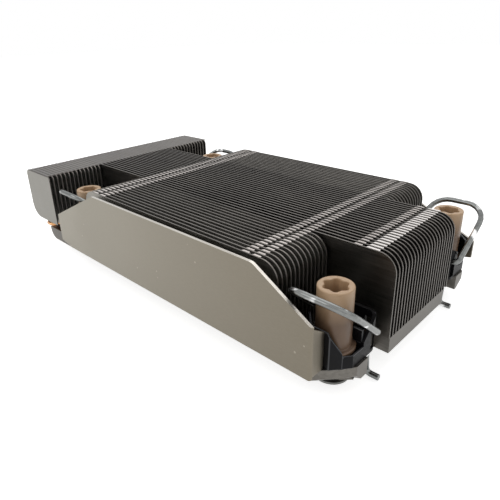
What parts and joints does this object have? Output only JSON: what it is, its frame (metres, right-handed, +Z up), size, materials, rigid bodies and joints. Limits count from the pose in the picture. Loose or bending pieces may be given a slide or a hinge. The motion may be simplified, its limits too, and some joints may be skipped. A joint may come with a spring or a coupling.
{
  "type": "passive server cpu heatsink",
  "caption": "Low passive heatsink for a server processor: rows of thin folded fins on a flat base, flattened heat pipes, side plates, corner nuts and swinging wire loops.",
  "frame": {"origin": "under the middle of the four nuts, on the plane that the contact pad rests on", "axes": "+X along the fins towards the front tongue, +Y towards the far side plate, +Z up"},
  "size_m": [0.1404, 0.078, 0.0308],
  "materials": {
    "base_metal": "milled, satin",
    "copper": "satin copper",
    "fin_metal": "satin",
    "plate_metal": "satin",
    "nut_plastic": "matt",
    "wire_steel": "plated",
    "holder_plastic": "matt"
  },
  "bodies": {
    "heatsink": {"base_plate": "base_metal", "heat_pipe_near": "copper", "heat_pipe_far": "copper", "centre_fins": "fin_metal", "side_fins_near": "fin_metal", "side_fins_far": "fin_metal", "end_fins_near": "fin_metal", "end_fins_far": "fin_metal", "side_plate_near": "plate_metal", "side_plate_far": "plate_metal", "wire_holder_front_near": "holder_plastic", "wire_holder_front_far": "holder_plastic", "wire_holder_rear_near": "holder_plastic", "wire_holder_rear_far": "holder_plastic"},
    "front_near_nut": {"nut_front_near": "nut_plastic", "nut_clip_front_near": "wire_steel"},
    "front_near_wire": {"wire_front_near": "wire_steel"},
    "front_far_nut": {"nut_front_far": "nut_plastic", "nut_clip_front_far": "wire_steel"},
    "front_far_wire": {"wire_front_far": "wire_steel"},
    "rear_near_nut": {"nut_rear_near": "nut_plastic", "nut_clip_rear_near": "wire_steel"},
    "rear_near_wire": {"wire_rear_near": "wire_steel"},
    "rear_far_nut": {"nut_rear_far": "nut_plastic", "nut_clip_rear_far": "wire_steel"},
    "rear_far_wire": {"wire_rear_far": "wire_steel"}
  },
  "joints": [
    {"name": "front_near_nut_turn", "type": "hinge", "parent": "heatsink", "child": "front_near_nut", "pos_m": [0.0505, -0.029, 0.0115], "axis": [0, 0, 1], "continuous": true},
    {"name": "front_near_wire_swing", "type": "hinge", "parent": "heatsink", "child": "front_near_wire", "pos_m": [0.0505, -0.022, 0.0143], "axis": [-1, 0, 0], "range_deg": [0, 15]},
    {"name": "front_far_nut_turn", "type": "hinge", "parent": "heatsink", "child": "front_far_nut", "pos_m": [0.0505, 0.029, 0.0115], "axis": [0, 0, 1], "continuous": true},
    {"name": "front_far_wire_swing", "type": "hinge", "parent": "heatsink", "child": "front_far_wire", "pos_m": [0.0505, 0.022, 0.0143], "axis": [1, 0, 0], "range_deg": [0, 15]},
    {"name": "rear_near_nut_turn", "type": "hinge", "parent": "heatsink", "child": "rear_near_nut", "pos_m": [-0.0505, -0.029, 0.0115], "axis": [0, 0, 1], "continuous": true},
    {"name": "rear_near_wire_swing", "type": "hinge", "parent": "heatsink", "child": "rear_near_wire", "pos_m": [-0.0505, -0.022, 0.0143], "axis": [-1, 0, 0], "range_deg": [0, 15]},
    {"name": "rear_far_nut_turn", "type": "hinge", "parent": "heatsink", "child": "rear_far_nut", "pos_m": [-0.0505, 0.029, 0.0115], "axis": [0, 0, 1], "continuous": true},
    {"name": "rear_far_wire_swing", "type": "hinge", "parent": "heatsink", "child": "rear_far_wire", "pos_m": [-0.0505, 0.022, 0.0143], "axis": [1, 0, 0], "range_deg": [0, 15]}
  ]
}
